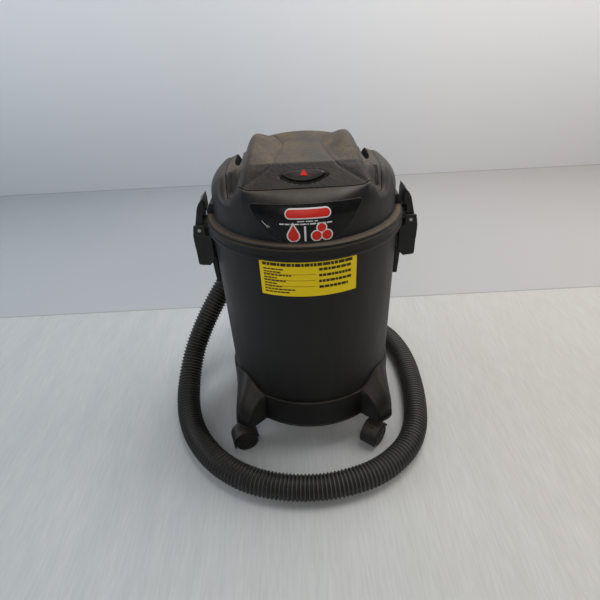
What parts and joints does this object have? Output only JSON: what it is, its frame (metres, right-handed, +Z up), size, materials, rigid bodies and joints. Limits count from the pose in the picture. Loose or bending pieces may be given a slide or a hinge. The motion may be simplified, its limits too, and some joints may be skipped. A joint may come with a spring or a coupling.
{
  "type": "shop vacuum",
  "caption": "Small wet and dry shop vacuum: drum on a caster base, powered head with filter cage and float, side latches, rear inlet and corrugated hose.",
  "frame": {"origin": "on the floor under the drum axis, at the bottom centre of the machine without its hose", "axes": "+Z up along the drum axis, -Y towards the front with the labels and switch, +Y towards the rear inlet"},
  "size_m": [0.4558, 0.4878, 0.478],
  "materials": {
    "tank_plastic": "fine moulded texture, dusty",
    "head_plastic": "fine moulded texture, dusty",
    "cover_plastic": "fine moulded texture, dusty",
    "inlet_plastic": "satin",
    "label_yellow": "printed film",
    "label_black": "printed film",
    "screw_steel": "zinc plated",
    "caster_plastic": "satin",
    "wheel_plastic": "worn",
    "seal_rubber": "matt",
    "switch_plastic": "satin",
    "inner_plastic": "matt",
    "motor_aluminium": "cast and pressed",
    "core_steel": "laminated",
    "winding_copper": "varnished",
    "carbon": "matt",
    "float_plastic": "smooth",
    "foam": "open foam",
    "hose_plastic": "corrugated"
  },
  "bodies": {
    "drum": {"tank": "tank_plastic", "inlet_fitting": "inlet_plastic", "tank_label": "label_yellow", "dolly": "tank_plastic", "dolly_screws": "screw_steel", "latch_bracket_left": "inlet_plastic", "latch_bracket_right": "inlet_plastic", "latch_pin_left": "screw_steel", "latch_pin_right": "screw_steel", "hose_elbow": "inlet_plastic", "hose": "hose_plastic", "hose_tool_cuff": "inlet_plastic"},
    "head": {"lid": "head_plastic", "lid_seal": "seal_rubber", "top_cover": "cover_plastic", "cover_screws": "screw_steel", "head_label": "label_black", "cord_gland": "seal_rubber", "switch_body": "switch_plastic", "motor_plate": "inner_plastic", "plate_screws": "screw_steel", "fan_case": "motor_aluminium", "motor_frame": "motor_aluminium", "motor_stator": "core_steel", "carbon_brushes": "carbon", "bearing_bottom": "core_steel", "bearing_top": "core_steel", "filter_cage": "inner_plastic"},
    "rotor": {"armature": "winding_copper", "commutator": "winding_copper", "impeller": "motor_aluminium", "impeller_nut": "screw_steel", "cooling_fan": "inner_plastic"},
    "switch": {"switch_rocker": "switch_plastic"},
    "float": {"float_ball": "float_plastic"},
    "filter": {"filter_sleeve": "foam", "retaining_ring": "seal_rubber"},
    "latch_left": {"latch_left": "inlet_plastic"},
    "latch_right": {"latch_right": "inlet_plastic"},
    "caster_fl": {"caster_hood_fl": "caster_plastic", "caster_stem_fl": "screw_steel", "caster_axle_fl": "screw_steel"},
    "wheel_fl_in": {"wheel_fl_in": "wheel_plastic"},
    "wheel_fl_out": {"wheel_fl_out": "wheel_plastic"},
    "caster_fr": {"caster_hood_fr": "caster_plastic", "caster_stem_fr": "screw_steel", "caster_axle_fr": "screw_steel"},
    "wheel_fr_in": {"wheel_fr_in": "wheel_plastic"},
    "wheel_fr_out": {"wheel_fr_out": "wheel_plastic"},
    "caster_rl": {"caster_hood_rl": "caster_plastic", "caster_stem_rl": "screw_steel", "caster_axle_rl": "screw_steel"},
    "wheel_rl_in": {"wheel_rl_in": "wheel_plastic"},
    "wheel_rl_out": {"wheel_rl_out": "wheel_plastic"},
    "caster_rr": {"caster_hood_rr": "caster_plastic", "caster_stem_rr": "screw_steel", "caster_axle_rr": "screw_steel"},
    "wheel_rr_in": {"wheel_rr_in": "wheel_plastic"},
    "wheel_rr_out": {"wheel_rr_out": "wheel_plastic"}
  },
  "joints": [
    {"name": "lid_lift", "type": "slide", "parent": "drum", "child": "head", "axis": [0, 0, 1], "range_m": [0, 0.2]},
    {"name": "motor_spin", "type": "hinge", "parent": "head", "child": "rotor", "pos_m": [0, 0, 0.42], "axis": [0, 0, 1], "continuous": true},
    {"name": "switch_rock", "type": "hinge", "parent": "head", "child": "switch", "pos_m": [0, -0.087, 0.451], "axis": [1, 0, 0], "range_deg": [-9, 9]},
    {"name": "float_rise", "type": "slide", "parent": "head", "child": "float", "axis": [0, 0, 1], "range_m": [0, 0.095]},
    {"name": "filter_pull", "type": "slide", "parent": "head", "child": "filter", "axis": [0, 0, 1], "range_m": [-0.13, 0]},
    {"name": "latch_left_open", "type": "hinge", "parent": "drum", "child": "latch_left", "pos_m": [-0.157, 0, 0.3535], "axis": [0, -1, 0], "range_deg": [0, 55]},
    {"name": "latch_right_open", "type": "hinge", "parent": "drum", "child": "latch_right", "pos_m": [0.157, 0, 0.3535], "axis": [0, 1, 0], "range_deg": [0, 55]},
    {"name": "swivel_fl", "type": "hinge", "parent": "drum", "child": "caster_fl", "pos_m": [-0.1058, -0.11668, 0.05], "axis": [0, 0, 1], "continuous": true},
    {"name": "roll_fl_in", "type": "hinge", "parent": "caster_fl", "child": "wheel_fl_in", "pos_m": [-0.11728, -0.12019, 0.019], "axis": [0.2924, -0.9563, 0], "continuous": true},
    {"name": "roll_fl_out", "type": "hinge", "parent": "caster_fl", "child": "wheel_fl_out", "pos_m": [-0.11728, -0.12019, 0.019], "axis": [0.2924, -0.9563, 0], "continuous": true},
    {"name": "swivel_fr", "type": "hinge", "parent": "drum", "child": "caster_fr", "pos_m": [0.1058, -0.11668, 0.05], "axis": [0, 0, 1], "continuous": true},
    {"name": "roll_fr_in", "type": "hinge", "parent": "caster_fr", "child": "wheel_fr_in", "pos_m": [0.09825, -0.12601, 0.019], "axis": [0.7771, -0.6293, 0], "continuous": true},
    {"name": "roll_fr_out", "type": "hinge", "parent": "caster_fr", "child": "wheel_fr_out", "pos_m": [0.09825, -0.12601, 0.019], "axis": [0.7771, -0.6293, 0], "continuous": true},
    {"name": "swivel_rl", "type": "hinge", "parent": "drum", "child": "caster_rl", "pos_m": [-0.1058, 0.11668, 0.05], "axis": [0, 0, 1], "continuous": true},
    {"name": "roll_rl_in", "type": "hinge", "parent": "caster_rl", "child": "wheel_rl_in", "pos_m": [-0.11728, 0.12019, 0.019], "axis": [-0.2924, -0.9563, 0], "continuous": true},
    {"name": "roll_rl_out", "type": "hinge", "parent": "caster_rl", "child": "wheel_rl_out", "pos_m": [-0.11728, 0.12019, 0.019], "axis": [-0.2924, -0.9563, 0], "continuous": true},
    {"name": "swivel_rr", "type": "hinge", "parent": "drum", "child": "caster_rr", "pos_m": [0.1058, 0.11668, 0.05], "axis": [0, 0, 1], "continuous": true},
    {"name": "roll_rr_in", "type": "hinge", "parent": "caster_rr", "child": "wheel_rr_in", "pos_m": [0.09825, 0.12601, 0.019], "axis": [-0.7771, -0.6293, 0], "continuous": true},
    {"name": "roll_rr_out", "type": "hinge", "parent": "caster_rr", "child": "wheel_rr_out", "pos_m": [0.09825, 0.12601, 0.019], "axis": [-0.7771, -0.6293, 0], "continuous": true}
  ]
}
